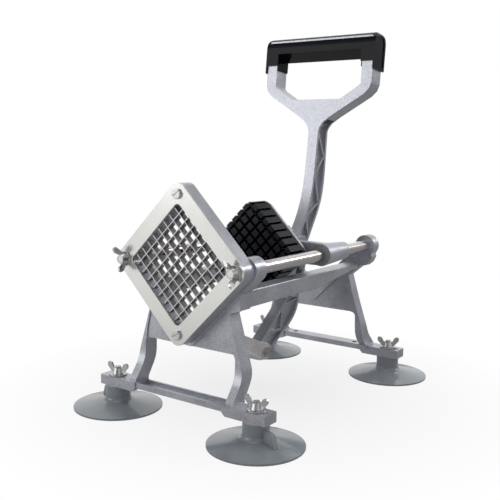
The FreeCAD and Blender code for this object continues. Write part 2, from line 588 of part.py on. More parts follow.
node("foot_washers", group("foot_washers", foot_washers))
node("cup_studs", group("cup_studs", foot_studs))

# Pusher: pegged block, backing plate and four screws
pegs = square_plate("pusher_square", s.block_half, s.block_corner_r, s.block_front_y, s.block_back_y)
peg_slots = []
for turn in (45, -45):
    for k in span:
        middle = strip_offset(k)
        peg_slots.append(tilted_box(f"peg_slot_{turn + 45}_{k}", (-60, 60),
                                    (middle - s.peg_gap / 2, middle + s.peg_gap / 2),
                                    (s.block_front_y - 1, s.block_back_y - s.block_base), turn))
screw_reach = s.strip_pitch * 3 / ROOT2
SCREW_PLACES = [(across, rise) for across in (-1, 1) for rise in (-1, 1)]


def screw_holes(name, radius, low, high):
    return [cylinder(f"{name}_{k}", "y", radius, (across * screw_reach, low, s.axis_z + rise * screw_reach),
                     as_size(high) - low) for k, (across, rise) in enumerate(SCREW_PLACES)]


tap_front_y = s.block_back_y - 3.5
node("pusher_block", cut("pusher_block", pegs, peg_slots + screw_holes(
    "block_tap", s.screw_shank_r, tap_front_y, s.block_back_y + 1)))
node("pusher_backing_plate", cut("pusher_backing_plate", square_plate(
    "backing_square", s.back_half, s.back_corner_r, s.block_back_y, s.back_rear_y),
    screw_holes("backing_hole", s.screw_shank_r + 0.2, s.block_back_y - 1, s.back_rear_y + 1)))

# Carriage: two bushed bosses, cross arms, mounting pad and the slotted yoke
arm_half = s.arm_high / 2
pad_chamfer = 5
carriage_parts = [
    box("carriage_arms", (-s.rod_x, s.rod_x), (s.boss_front_y + 1, s.boss_front_y + 1 + s.arm_deep),
        (s.axis_z - arm_half, s.axis_z + arm_half)),
    body_plate("carriage_pad", "xz", mirrored([
        (0, s.axis_z - s.pad_half_z), (s.pad_half_x - pad_chamfer, s.axis_z - s.pad_half_z),
        (s.pad_half_x, s.axis_z - s.pad_half_z + pad_chamfer), (s.pad_half_x, s.axis_z + s.pad_half_z - pad_chamfer),
        (s.pad_half_x - pad_chamfer, s.axis_z + s.pad_half_z), (0, s.axis_z + s.pad_half_z)]),
        s.back_rear_y, s.pad_rear_y),
]
carriage_cuts = screw_holes("pad_hole", s.screw_shank_r + 0.2, s.back_rear_y - 1, s.pad_rear_y + 5)
bushes = []


def lever_lean(k, steps):
    """Lever angle from upright at step k, from fully forward to fully back, in degrees."""
    low = num(s.rest_lean) - num(s.fore_swing)
    high = num(s.rest_lean) + num(s.back_swing)
    return low + (high - low) * k / steps


def slot_centre(lean):
    """Where the yoke pin sits in the resting carriage when the lever leans by this angle."""
    turn = math.radians(lean - num(s.rest_lean))
    y = num(s.pivot_y) + num(s.yoke_reach_r) * math.sin(math.radians(lean)) - num(s.travel_per_rad) * turn
    z = num(s.pivot_z) + num(s.yoke_reach_r) * math.cos(math.radians(lean))
    return y, z


STEPS = 26
slot_path = [slot_centre(lever_lean(k, STEPS)) for k in range(STEPS + 1)]
slot_r = num(s.roller_r) + num(s.roller_gap)
slot_top = max(z for y, z in slot_path)
slot_low = min(z for y, z in slot_path)


def slot_side(sign, height):
    """Slot wall: furthest reach of the roller at a height, to the front (-1) or rear (+1)."""
    best = []
    for y, z in slot_path:
        rise = height - z
        if abs(rise) <= slot_r:
            best.append(y + sign * math.sqrt(slot_r ** 2 - rise ** 2))
    return min(best) if sign < 0 else max(best)


LEVELS = 30
slot_low_z = slot_low - slot_r + 0.02
slot_top_z = slot_top + slot_r - 0.02
levels = [slot_low_z + (slot_top_z - slot_low_z) * (0.5 - 0.5 * math.cos(math.pi * k / LEVELS))
          for k in range(LEVELS + 1)]
slot_outline = [(slot_side(-1, z), z) for z in levels] + [(slot_side(1, z), z) for z in reversed(levels)]


def cheek_side(sign, height):
    """Edge of a yoke cheek, one wall outside the slot, to the front (-1) or rear (+1)."""
    return slot_side(sign, min(max(height, slot_low), slot_top)) + sign * yoke_wall


yoke_wall = num(s.yoke_wall)
cheek_top = slot_top_z + yoke_wall
cheek_low = slot_low_z - yoke_wall
cheek_heights = [slot_top + (slot_low - slot_top) * k / 4 for k in range(5)]
cheek_outline = [(s.pad_rear_y - 3, s.axis_z - s.pad_half_z + 3), (s.pad_rear_y - 3, cheek_top),
                 (cheek_side(1, slot_top) - yoke_wall, cheek_top)]
cheek_outline += [(cheek_side(1, z), z) for z in cheek_heights]
cheek_outline += [(cheek_side(1, slot_low) - yoke_wall, cheek_low), (cheek_side(-1, slot_low) + yoke_wall, cheek_low),
                  (cheek_side(-1, slot_low), slot_low)]
for word, side in (("left", -1), ("right", 1)):
    x = side * s.rod_x
    carriage_parts.append(cone(f"carriage_boss_{word}", "y", s.boss_r, s.boss_rear_r,
                               (x, s.boss_front_y, s.axis_z), s.boss_long))
    carriage_cuts.append(cylinder(f"carriage_bore_{word}", "y", s.bush_r,
                                  (x, s.boss_front_y - 1, s.axis_z), s.boss_long + 2))
    ends = sorted((side * s.yoke_in_x, side * (s.yoke_in_x + s.yoke_thick)), key=num)
    carriage_parts.append(body_plate(f"yoke_{word}", "yz", cheek_outline, *ends))
    slot = doc.addObject("Part::Feature", f"yoke_slot_{word}")
    corners = [Vector(0, y, z) for y, z in slot_outline]
    slot.Shape = Part.Face(Part.makePolygon(corners + corners[:1])).extrude(Vector(num(s.yoke_thick) + 2, 0, 0))
    place(slot, ends[0] - 1, 0, 0)
    carriage_cuts.append(slot)
    bushes.append(cut(f"bush_{word}", fuse(f"bush_solid_{word}", [
        cylinder(f"bush_sleeve_{word}", "y", s.bush_r, (x, s.boss_front_y - 0.5, s.axis_z), s.boss_long + 1.5),
        cylinder(f"bush_flange_{word}", "y", s.bush_flange_r, (x, s.boss_front_y - s.bush_flange, s.axis_z),
                 s.bush_flange)]),
        [cylinder(f"bush_bore_{word}", "y", s.rod_r + s.run_gap, (x, s.boss_front_y - s.bush_flange - 1, s.axis_z),
                  s.boss_long + s.bush_flange + 4)]))
node("carriage", cut("carriage", fuse("carriage_solid", carriage_parts), carriage_cuts))
node("carriage_bushes", group("carriage_bushes", bushes))
pusher_screws = []
for k, (across, rise) in enumerate(SCREW_PLACES):
    x, z, seat_y = across * screw_reach, s.axis_z + rise * screw_reach, s.pad_rear_y
    pusher_screws.append(fuse(f"pusher_screw_{k}", [
        cylinder(f"pusher_screw_shank_{k}", "y", s.screw_shank_r - 0.05, (x, tap_front_y + 0.3, z), seat_y - tap_front_y),
        cylinder(f"pusher_screw_head_{k}", "y", 3.4, (x, seat_y, z), 3)]))
node("pusher_screws", group("pusher_screws", pusher_screws))

# Lever casting: curved I-section with a zigzag truss in its sides, hub, yoke pin boss and D frame
FRONT_EDGE = [(36.0, 96.0), (37.0, 107.0), (38.6, 122.0), (43.6, 140.0), (54.0, 159.5), (68.8, 180.5),
              (80.0, 203.0), (86.3, 226.0), (90.1, 250.0), (93.8, 280.0), (95.3, 296.0)]
REAR_EDGE = [(39.5, 63.3), (51.0, 72.0), (58.6, 82.0), (61.0, 93.0), (61.0, 105.0), (62.6, 119.0), (68.0, 137.0),
             (78.6, 156.5), (93.0, 178.5), (105.5, 201.0), (110.8, 222.0), (113.4, 245.0), (116.0, 281.6),
             (117.3, 296.0)]
TRUSS = [(-4, 62.5), (26, 62.5), (29, 87), (59, 92), (38, 114), (51, 132.7), (80, 160), (74, 184), (100.5, 198),
         (91, 231), (110.5, 251), (94, 283.5), (117, 289)]


def edge_curve(points, shift=0):
    """Smooth side-view curve through the points, moved to its left by shift."""
    spline = Part.BSplineCurve()
    spline.interpolate([Vector(0, y, z) for y, z in points])
    if not shift:
        return spline.toShape()
    moved = []
    for y, z in points:
        way = spline.tangent(spline.parameter(Vector(0, y, z)))[0]
        moved.append(Vector(0, y - way.z * shift, z + way.y * shift))
    inner = Part.BSplineCurve()
    inner.interpolate(moved)
    return inner.toShape()


def side_solid(start, front, rear, half):
    """Solid between a front and a rear curve, closed below by a line chain and above by one line."""
    low_front, low_rear = start
    chain = low_front + [front.valueAt(front.FirstParameter)]
    edges = [Part.makeLine(p, q) for p, q in zip(chain, chain[1:])]
    edges += [front, Part.makeLine(front.valueAt(front.LastParameter), rear.valueAt(rear.LastParameter)), rear,
              Part.makeLine(rear.valueAt(rear.FirstParameter), low_rear), Part.makeLine(low_rear, low_front[0])]
    face = Part.Face(Part.Wire(Part.__sortEdges__(edges)))
    return face.translated(Vector(-half, 0, 0)).extrude(Vector(2 * half, 0, 0))


def rib(start, end, half, wide):
    way = end - start
    item = Part.makeBox(2 * half, way.Length, wide, Vector(-half, 0, -wide / 2))
    item.Placement = Placement(start, Rotation(Vector(1, 0, 0), math.degrees(math.atan2(way.z, way.y))))
    return item


def across(radius, half, centre):
    """Cylinder along X, centred on the middle plane."""
    return Part.makeCylinder(radius, 2 * half, centre - Vector(half, 0, 0), Vector(1, 0, 0))


lever_half = num(s.lever_half)
pivot = Vector(0, num(s.pivot_y), num(s.pivot_z))
yoke_y, yoke_z = slot_centre(num(s.rest_lean))
yoke_point = Vector(0, yoke_y, yoke_z)
front = edge_curve(FRONT_EDGE)
rear = edge_curve(REAR_EDGE)
hub_lean = math.radians(40)
hub_top = pivot + Vector(0, -math.sin(hub_lean), math.cos(hub_lean)) * num(s.hub_r)
hub_low = pivot + Vector(0, math.sin(math.radians(29)), -math.cos(math.radians(29))) * num(s.hub_r)
knee = Vector(0, 24.4, 85.8)
flange = num(s.flange)
up_way = (knee - hub_top).normalize()
low_way = (rear.valueAt(rear.FirstParameter) - hub_low).normalize()
front_in = Vector(0, up_way.z, -up_way.y) * flange
rear_in = Vector(0, -low_way.z, low_way.y) * flange
neck_half = 16
hollow = side_solid(([hub_top + front_in, knee + front_in], hub_low + rear_in),
                    edge_curve(FRONT_EDGE, -flange), edge_curve(REAR_EDGE, flange), neck_half)
kept = [Part.makeBox(2 * num(s.lever_web_half), 400, 400, Vector(-num(s.lever_web_half), -100, 0)),
        across(9.0, lever_half, yoke_point), across(num(s.hub_r) + 1.5, lever_half, pivot),
        Part.makeBox(60, 60, 20, Vector(-30, 80, 293.5))]
corners = [Vector(0, y, z) for y, z in TRUSS]
kept += [rib(a, b, lever_half - num(s.rib_sunk), num(s.rib_wide)) for a, b in zip(corners, corners[1:])]
hollow = hollow.cut(kept[0].fuse(kept[1:]))
handle_frame = Placement(Vector(0, num(s.handle_y), num(s.handle_z)), Rotation(Vector(1, 0, 0), -num(s.handle_lean)))


def handle_block(points, front, deep):
    """Outline in the handle's own leaning plane, from front to deep behind it."""
    corners = [Vector(x, 0, w) for x, w in points]
    item = Part.Face(Part.makePolygon(corners + corners[:1])).extrude(Vector(0, deep, 0))
    item.translate(Vector(0, front, 0))
    item.Placement = handle_frame.multiply(item.Placement)
    return item


def both_sides(points):
    return points + [(-x, w) for x, w in reversed(points)]


out_x, in_x = num(s.arm_out_x), num(s.arm_in_x)
d_outer = both_sides([(lever_half, -4), (lever_half, 0), (8.0, 5), (12, 10.5), (22, 17.5), (60, 40.2),
                      (out_x - 2.5, 46.2), (out_x, 53.2), (out_x, 100), (out_x - 3, 104)])
d_inner = both_sides([(31, 35.7), (in_x - 2, 49.8), (in_x, 52.4), (in_x, num(s.bar_low))])
handle = handle_block(d_outer, 0, num(s.handle_deep))
handle = handle.cut(handle_block(d_inner, -1, num(s.handle_deep) + 2))
solid = side_solid(([hub_top, knee], hub_low), front, rear, lever_half)
solid = solid.fuse([across(num(s.hub_r), num(s.hub_half), pivot), handle]).cut(hollow).removeSplitter()
for centre, radius in ((pivot, num(s.pin_r) + num(s.run_gap)), (yoke_point, num(s.pin_r))):
    solid = solid.cut(Part.makeCylinder(radius, 40, centre - Vector(20, 0, 0), Vector(1, 0, 0)))
lever = doc.addObject("Part::Feature", "lever_casting")
lever.Shape = solid
node("lever_casting", lever)

# Grip sleeve: rolled over the handle bar, capped down the outside of both arms
end_x = num(s.grip_end_x)
grip_front, grip_rear = -num(s.grip_front), num(s.grip_deep) - num(s.grip_front)
grip_lip, grip_cap, grip_high = num(s.grip_lip), num(s.grip_cap), num(s.grip_high)
lining_x = in_x - 1.5


def side_block(edges, start, wide):
    """Closed side view of the handle, from edges drawn in (depth, height), wide along X from start."""
    item = Part.Face(Part.Wire(Part.__sortEdges__(edges))).extrude(Vector(wide, 0, 0))
    item.translate(Vector(start, 0, 0))
    item.Placement = handle_frame.multiply(item.Placement)
    return item


def arch(inset, low, half):
    """Side view with a round top, inset from the grip's own, low to its crown."""
    front_y, back_y = grip_front + inset, grip_rear - inset
    middle, radius = (front_y + back_y) / 2, (back_y - front_y) / 2
    spring = grip_high - inset - radius
    turns = [Vector(0, front_y, spring), Vector(0, middle, spring + radius), Vector(0, back_y, spring)]
    edges = Part.makePolygon([turns[2], Vector(0, back_y, low), Vector(0, front_y, low), turns[0]]).Edges
    return side_block(edges + [Part.Arc(*turns).toShape()], -half, 2 * half)


corner_r = num(s.grip_corner_r)
front_view = handle_block(both_sides([(end_x, grip_cap), (end_x, grip_high)]), -10, 60)
crown = max(v.Z for v in front_view.Vertexes) - 20
front_view = front_view.makeFillet(corner_r, [e for e in front_view.Edges if e.BoundBox.XLength < 0.01
                                              and e.BoundBox.YLength > 50 and e.BoundBox.ZMax > crown])
grip = arch(0, grip_cap - 1, end_x + 1).common(front_view)
under = [Vector(0, -10, grip_cap - 5), Vector(0, -10, num(s.grip_under_front)),
         Vector(0, grip_front, num(s.grip_under_front)), Vector(0, grip_rear, num(s.grip_under_rear)),
         Vector(0, 40, num(s.grip_under_rear)), Vector(0, 40, grip_cap - 5)]
window = side_block(Part.makePolygon(under + under[:1]).Edges, -lining_x, 2 * lining_x)
faces = [handle_block(both_sides([(out_x, grip_cap - 5), (out_x, grip_lip)]), start, 20)
         for start in (grip_front - 20, num(s.handle_deep))]
linings = [handle_block([(x, grip_cap - 5), (x, num(s.grip_lining)), (x + in_x, num(s.grip_lining)),
                         (x + in_x, grip_cap - 5)], -10, 60) for x in (0, -in_x)]
inset = num(s.grip_rim)
recesses = [arch(inset, grip_cap + inset, end_x + 5).common(handle_block(
    [(x, 0), (x, 200), (x + 20, 200), (x + 20, 0)], -10, 60))
    for x in (end_x - num(s.grip_recess), -end_x + num(s.grip_recess) - 20)]
grip = grip.cut([handle, window] + faces + linings + recesses)
sleeve = doc.addObject("Part::Feature", "handle_grip")
sleeve.Shape = grip
node("handle_grip", sleeve)

# Pins, clips and rollers
pin_reach = s.cheek_in_x + s.cheek_thick
node("lever_pivot_pin", fuse("lever_pivot_pin", [
    cylinder("pivot_pin_shank", "x", s.pin_r, (-(pin_reach + 3.5), s.pivot_y, s.pivot_z), pin_reach * 2 + 3.5),
    cylinder("pivot_pin_head", "x", s.pin_head_r, (pin_reach, s.pivot_y, s.pivot_z), s.pin_head_high)]))
node("pivot_pin_clip", ring("pivot_pin_clip", "x", s.pin_head_r + 0.6, s.pin_r + s.run_gap,
                            (-(pin_reach + 1.3), s.pivot_y, s.pivot_z), 1.2))
yoke_reach = s.yoke_in_x + s.yoke_thick + 2.6
node("yoke_pin", cylinder("yoke_pin", "x", s.pin_r, (-yoke_reach, yoke_y, yoke_z), yoke_reach * 2))
clips = []
for word, side in (("left", -1), ("right", 1)):
    ends = sorted((side * (s.yoke_in_x + 0.2), side * (s.yoke_in_x + s.yoke_thick - 0.2)), key=num)
    node(f"yoke_roller_{word}", ring(f"yoke_roller_{word}", "x", s.roller_r, s.pin_r + s.run_gap,
                                     (ends[0], yoke_y, yoke_z), s.yoke_thick - 0.4))
    start = side * (s.yoke_in_x + s.yoke_thick + 0.3) if side > 0 else -(s.yoke_in_x + s.yoke_thick + 1.5)
    clips.append(ring(f"yoke_clip_{word}", "x", s.pin_r + 1.9, s.pin_r, (start, yoke_y, yoke_z), 1.2))
node("yoke_pin_clips", group("yoke_pin_clips", clips))

# Rebuild, check and write
doc.recompute()
for item in doc.Objects:
    if "Invalid" in item.State or "Error" in item.State:
        raise RuntimeError(f"{item.Name} has state {item.State}")
for label, item in finished:
    shape = item.Shape
    if shape.isNull() or not shape.isValid() or not shape.Solids:
        raise RuntimeError(f"{label} has no sound solid")
    print(label, "solids", len(shape.Solids), "volume", round(shape.Volume, 1))
for label, item in finished:
    item.Shape.exportStep(f"parts/{label}.step")
print("nodes", len(finished))
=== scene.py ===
import json
import math

import bmesh
import bpy
from mathutils import Matrix, Vector

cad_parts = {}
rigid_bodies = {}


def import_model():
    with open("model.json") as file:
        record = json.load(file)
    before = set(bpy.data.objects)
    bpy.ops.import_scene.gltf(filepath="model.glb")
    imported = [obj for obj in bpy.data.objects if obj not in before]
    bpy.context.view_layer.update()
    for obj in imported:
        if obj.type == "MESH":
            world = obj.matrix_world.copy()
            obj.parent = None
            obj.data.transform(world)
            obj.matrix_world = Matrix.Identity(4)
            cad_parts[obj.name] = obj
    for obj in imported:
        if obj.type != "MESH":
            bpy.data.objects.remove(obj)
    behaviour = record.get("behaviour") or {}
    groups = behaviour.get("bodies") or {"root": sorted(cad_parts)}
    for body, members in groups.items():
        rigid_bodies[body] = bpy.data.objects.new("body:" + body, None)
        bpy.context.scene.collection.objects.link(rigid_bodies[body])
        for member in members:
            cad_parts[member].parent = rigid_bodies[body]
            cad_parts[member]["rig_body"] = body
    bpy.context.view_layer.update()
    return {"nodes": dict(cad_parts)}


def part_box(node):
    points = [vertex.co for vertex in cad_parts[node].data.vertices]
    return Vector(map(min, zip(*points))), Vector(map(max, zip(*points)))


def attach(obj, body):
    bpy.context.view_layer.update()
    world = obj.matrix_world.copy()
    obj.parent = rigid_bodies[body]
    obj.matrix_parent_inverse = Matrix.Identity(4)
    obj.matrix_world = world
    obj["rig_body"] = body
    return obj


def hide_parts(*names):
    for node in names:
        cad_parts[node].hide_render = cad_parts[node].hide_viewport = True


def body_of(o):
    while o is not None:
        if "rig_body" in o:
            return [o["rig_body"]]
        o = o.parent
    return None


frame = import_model()
nodes = frame["nodes"]
cups = [name for name in nodes if name.startswith("suction_cup")]
wing_nuts = [name for name in nodes if "wing_nut" in name]


class Network:
    """A tree of shader nodes that values are worked out in."""

    def __init__(self, tree):
        self.tree = tree

    def add(self, kind, settings, values=(), output=0):
        """New node with its sockets filled, by name or in order. Gives the value it puts out."""
        node = self.tree.nodes.new(kind)
        for name, setting in settings.items():
            setattr(node, name, setting)
        pairs = values.items() if isinstance(values, dict) else enumerate(values)
        for socket, value in pairs:
            self.put(node.inputs[socket], value)
        return Value(self, node.outputs[output])

    def put(self, socket, value):
        if isinstance(value, Value):
            self.tree.links.new(value.socket, socket)
        else:
            socket.default_value = value

    def nearness(self, where, direction):
        """How far a place or a view lies along a direction."""
        settings = {"operation": "DOT_PRODUCT"}
        return self.add("ShaderNodeVectorMath", settings, (where, direction), output="Value")


class Value:
    """A shader socket that can stand in arithmetic."""

    def __init__(self, network, socket):
        self.network = network
        self.socket = socket

    def math(self, operation, *others):
        return self.network.add("ShaderNodeMath", {"operation": operation}, (self, *others))

    def __add__(self, other):
        return self.math("ADD", other)

    def __sub__(self, other):
        return self.math("SUBTRACT", other)

    def __rsub__(self, other):
        return self.network.add("ShaderNodeMath", {"operation": "SUBTRACT"}, (other, self))

    def __mul__(self, other):
        return self.math("MULTIPLY", other)

    def __lt__(self, other):
        return self.math("LESS_THAN", other)

    def sine(self):
        return self.math("SINE")

    def clamp(self):
        return self.network.add("ShaderNodeClamp", {}, (self,))

    def swing(self, width):
        """Noise around a half, turned into a change around nothing."""
        return (self - 0.5) * width


class Finish(Network):
    """One material, built around a principled shader."""

    def __init__(self, name, **constants):
        self.material = bpy.data.materials.new(name)
        self.material.use_nodes = True
        super().__init__(self.material.node_tree)
        self.shader = self.tree.nodes["Principled BSDF"]
        self.set(**constants)

    def set(self, **values):
        for socket, value in values.items():
            self.put(self.shader.inputs[socket.replace("_", " ")], value)

    def place(self, scale=(1, 1, 1), turn=(0, 0, 0)):
        """Position on the piece in metres, stretched and turned."""
        here = self.add("ShaderNodeTexCoord", {}, output="Object")
        return self.add("ShaderNodeMapping", {}, {"Vector": here, "Rotation": turn, "Scale": scale})

    def noise(self, size, detail=2.0, rough=0.5):
        """Noise whose features are about the given size in metres."""
        return self.noise_at(self.place(), 1 / size, detail, rough)

    def streaks(self, per_metre, rough=0.5, turn=(0, 0, 0)):
        """Noise with its own number of features per metre along each axis."""
        return self.noise_at(self.place(per_metre, turn), 1, 2.0, rough)

    def noise_at(self, where, scale, detail, rough):
        return self.add("ShaderNodeTexNoise", {}, {"Vector": where, "Scale": scale, "Detail": detail,
                                                   "Roughness": rough})

    def along(self, axis):
        """Place along one axis of the piece in metres."""
        return self.add("ShaderNodeSeparateXYZ", {}, (self.place(),), output=axis)

    def threads(self, axis):
        """Height of a screw thread running along an axis, from -1 to 1."""
        return (self.along(axis) * (2 * math.pi / THREAD_PITCH)).sine()

    def blend(self, amount, first, second):
        """Colour going from first to second as amount goes from 0 to 1."""
        colour_sockets = {0: amount, 6: first, 7: second}
        return self.add("ShaderNodeMix", {"data_type": "RGBA"}, colour_sockets, output=2)

    def bump(self, height, distance, strength=1.0):
        return self.add("ShaderNodeBump", {}, {"Height": height, "Distance": distance, "Strength": strength})


# Materials. Their levels are greys from 0 to 1, and their sizes and distances are in metres
Y = 1
Z = 2
THREAD_PITCH = 0.001
STUD_START_Y = -0.1255
SCRATCH_WIDTH = 0.00012
# Width of the band along the blades' cutting edge that has a smoother grind and is painted brighter as a
# highlight
GROUND_AND_HIGHLIGHT_BAND = 0.0006
# Hues, as shares of red, green and blue
PLAIN = (1.0, 1.0, 1.0)
COOL = (0.975, 1.0, 1.1)
WARM = (1.0, 1.0, 0.96)
PINKISH = (1.04, 1.0, 1.01)
BROWNISH = (1.06, 1.0, 1.0)
GREENISH = (0.92, 1.0, 0.99)
BLUISH = (0.9, 1.0, 1.1)
INKY = (0.85, 0.95, 1.5)


def shade(level, hue=PLAIN):
    """Colour of a grey level, tinted by a hue."""
    return (level * hue[0], level * hue[1], level * hue[2], 1.0)


def cast_silver(name, level, roughness=0.36, hue=COOL):
    """Die-cast alloy under a thin silver lacquer: fine orange peel, soft mottling."""
    f = Finish(name, Metallic=0.65, Coat_Weight=0.25, Coat_Roughness=0.25)
    peel = f.noise(0.0016, detail=3.0, rough=0.65)
    cloud = f.noise(0.03, detail=4.0, rough=0.6)
    fleck = f.noise(0.0011, detail=3.0, rough=0.7)
    swell = f.noise(0.009)
    tone = cloud.swing(0.8) + fleck.swing(1.7) + 0.5
    f.set(Base_Color=f.blend(tone.clamp(), shade(level * 0.6, hue), shade(level * 1.4, hue)),
          Roughness=(peel.swing(0.25) + cloud.swing(0.2) + roughness).clamp(),
          Normal=f.bump(peel + swell * 1.5, distance=0.00014))
    return f.material


def brushed_steel(name, level, roughness, turn):
    """Stainless sheet with long drawn scratches along one direction."""
    f = Finish(name, Metallic=0.9)
    scratch = f.streaks((1 / SCRATCH_WIDTH, 1 / SCRATCH_WIDTH, 6), rough=0.6, turn=turn)
    wide = f.noise(0.045, detail=3.0, rough=0.55)
    tone = scratch * 0.5 + wide * 0.5
    f.set(Base_Color=f.blend(tone.clamp(), shade(level * 0.84, WARM), shade(level * 1.1, WARM)),
          Roughness=(scratch.swing(0.2) + wide.swing(0.12) + roughness).clamp(),
          Normal=f.bump(scratch * 0.4 + wide * 6.0, distance=0.00003, strength=0.6))
    return f.material


def ground_edge_with_painted_highlight(name, level, edge_y):
    """Blade steel: brownish drawn sides, a band along the cutting edge with a smoother grind and painted
    brighter as a highlight, faint smears.
    """
    f = Finish(name, Metallic=0.9)
    band = f.streaks((40, 5000, 40))
    smear = f.noise(0.012, detail=3.0)
    # The band along the cutting edge has a smoother grind, and its colour is painted brighter as a highlight
    ground_and_highlight = f.along(Y) < edge_y
    sides = f.blend(smear, shade(level * 0.6, BROWNISH), shade(level, BROWNISH))
    f.set(Base_Color=f.blend(ground_and_highlight, sides, shade(level * 2.2)),
          Roughness=(band.swing(0.25) + smear.swing(0.15) + 0.27 - ground_and_highlight * 0.1).clamp(),
          Normal=f.bump(band, distance=0.00002, strength=0.4))
    return f.material


def polished_rod(name, level, stud_y):
    """Ground and polished bar with faint rings round it and a threaded stud in front."""
    f = Finish(name, Metallic=1.0)
    ring = f.streaks((60, 3000, 60))
    smear = f.noise(0.02)
    stud = f.along(Y) < stud_y
    f.set(Base_Color=f.blend(smear, shade(level * 0.88, BROWNISH), shade(level * 1.05, BROWNISH)),
          Roughness=(ring.swing(0.06) + smear.swing(0.06) + 0.18 + stud * 0.1).clamp(),
          Normal=f.bump(ring * 0.006 + f.threads(Y) * stud * 0.5, distance=0.0004, strength=0.7))
    return f.material


def plated_steel(name, level, roughness=0.28, thread_axis=None):
    """Zinc-plated small fastener: slight clouding and tiny dents, threads where it is a stud."""
    f = Finish(name, Metallic=0.92)
    cloud = f.noise(0.004, detail=3.0, rough=0.6)
    height = f.noise(0.0012) * 0.15 if thread_axis is None else f.threads(thread_axis) * 0.5
    f.set(Base_Color=f.blend(cloud, shade(level * 0.72), shade(level * 1.15)),
          Roughness=(cloud.swing(0.25) + roughness).clamp(),
          Normal=f.bump(height, distance=0.0004, strength=0.7))
    return f.material


def moulded_plastic(name, level, hue, roughness, peel_size=0.0009, peel_depth=0.00004, shine=0.2):
    """Moulded plastic with a fine surface texture and rubbed patches."""
    f = Finish(name, Specular_IOR_Level=shine)
    peel = f.noise(peel_size)
    handled = f.noise(0.02, detail=3.0, rough=0.6)
    f.set(Base_Color=f.blend(handled, shade(level * 0.65, hue), shade(level * 1.35, hue)),
          Roughness=(peel.swing(0.12) + handled.swing(0.2) + roughness).clamp(),
          Normal=f.bump(peel, distance=peel_depth, strength=0.6))
    return f.material


def cup_rubber(name, level):
    """Soft glossy grey rubber: slight bloom, moulding swirls, fine texture."""
    f = Finish(name, Coat_Weight=0.4, Coat_Roughness=0.12)
    bloom = f.noise(0.02, detail=4.0, rough=0.6)
    texture = f.noise(0.0016)
    f.set(Base_Color=f.blend(bloom, shade(level * 0.8, BLUISH), shade(level * 1.2, BLUISH)),
          Roughness=(bloom.swing(0.2) + 0.22).clamp(),
          Normal=f.bump(texture + bloom * 2.0, distance=0.00006, strength=0.6))
    return f.material


# Which pieces each material covers
blade_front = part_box("blade_strips_rising")[0].y
PAINTED = [
    (cast_silver("silver_casting", level=0.46),
     ["front_frame", "rear_frame", "side_rail_left", "side_rail_right", "blade_head_frame", "carriage",
      "pusher_backing_plate"]),
    (cast_silver("silver_lever_casting", level=0.47, roughness=0.33), ["lever_casting"]),
    (cast_silver("silver_strut", level=0.66, roughness=0.4, hue=PINKISH), ["pivot_strut"]),
    (brushed_steel("cover_plate_steel", level=0.74, roughness=0.24, turn=(0, math.radians(45), 0)),
     ["blade_cover_plate"]),
    (ground_edge_with_painted_highlight("blade_steel", level=0.3, edge_y=blade_front + GROUND_AND_HIGHLIGHT_BAND),
     ["blade_strips_rising", "blade_strips_falling"]),
    (polished_rod("guide_rod_steel", level=0.66, stud_y=STUD_START_Y), ["guide_rod_left", "guide_rod_right"]),
    (plated_steel("fastener_steel", level=0.52),
     ["rod_end_washers", "rod_end_bolts", "head_washers", "foot_washers", "lever_pivot_pin", "pivot_pin_clip",
      "yoke_pin", "yoke_pin_clips", "yoke_roller_left", "yoke_roller_right"]),
    (plated_steel("threaded_steel", level=0.5, roughness=0.3, thread_axis=Z), ["cup_studs"]),
    (plated_steel("wing_nut_steel", level=0.6, roughness=0.22), wing_nuts),
    (plated_steel("screw_steel", level=0.66, roughness=0.22), ["cover_screws", "pusher_screws"]),
    (moulded_plastic("pusher_plastic", level=0.009, hue=INKY, roughness=0.3), ["pusher_block"]),
    (moulded_plastic("grip_plastic", level=0.005, hue=INKY, roughness=0.14, peel_size=0.0015,
                     peel_depth=0.00002, shine=0.13), ["handle_grip"]),
    (moulded_plastic("bush_plastic", level=0.27, hue=GREENISH, roughness=0.34), ["carriage_bushes"]),
    (cup_rubber("cup_rubber", level=0.27), cups),
]
FINISHES = {name: material for material, names in PAINTED for name in names}


def in_scene(name, data):
    """New object showing some data, in the scene."""
    obj = bpy.data.objects.new(name, data)
    bpy.context.scene.collection.objects.link(obj)
    return obj


def paint(obj, material):
    obj.data.materials.clear()
    obj.data.materials.append(material)


# Forms made here alone, as blocks cut from a copy: the grip's front lips end higher than its side caps, and
# the front base bar has a shallow hollow along its top. Each block has a frame and two corners in that frame.
# The handle's frame leans back with it. Its axes run across, into the depth and up.
HANDLE_PLACE = (0, 0.0938, 0.28)
HANDLE_LEAN = math.radians(-5.48)
HANDLE = Matrix.Translation(HANDLE_PLACE) @ Matrix.Rotation(HANDLE_LEAN, 4, "X")
GRIP_HALF_WIDE = 0.0687
LIP_FRONT = -0.01
LIP_BACK = 0.0003
LIP_LOW = 0.05
LIP_TOP = 0.076
OBJECT = Matrix.Identity(4)
BAR_Y = -0.1333
HOLLOW_HALF_LONG = 0.05
HOLLOW_HALF_WIDE = 0.0058
HOLLOW_FLOOR = 0.0287
BAR_CLEAR = 0.0335
CUTS = {
    "handle_grip": (HANDLE, (-GRIP_HALF_WIDE, LIP_FRONT, LIP_LOW), (GRIP_HALF_WIDE, LIP_BACK, LIP_TOP)),
    "front_frame": (OBJECT, (-HOLLOW_HALF_LONG, BAR_Y - HOLLOW_HALF_WIDE, HOLLOW_FLOOR),
                    (HOLLOW_HALF_LONG, BAR_Y + HOLLOW_HALF_WIDE, BAR_CLEAR)),
}

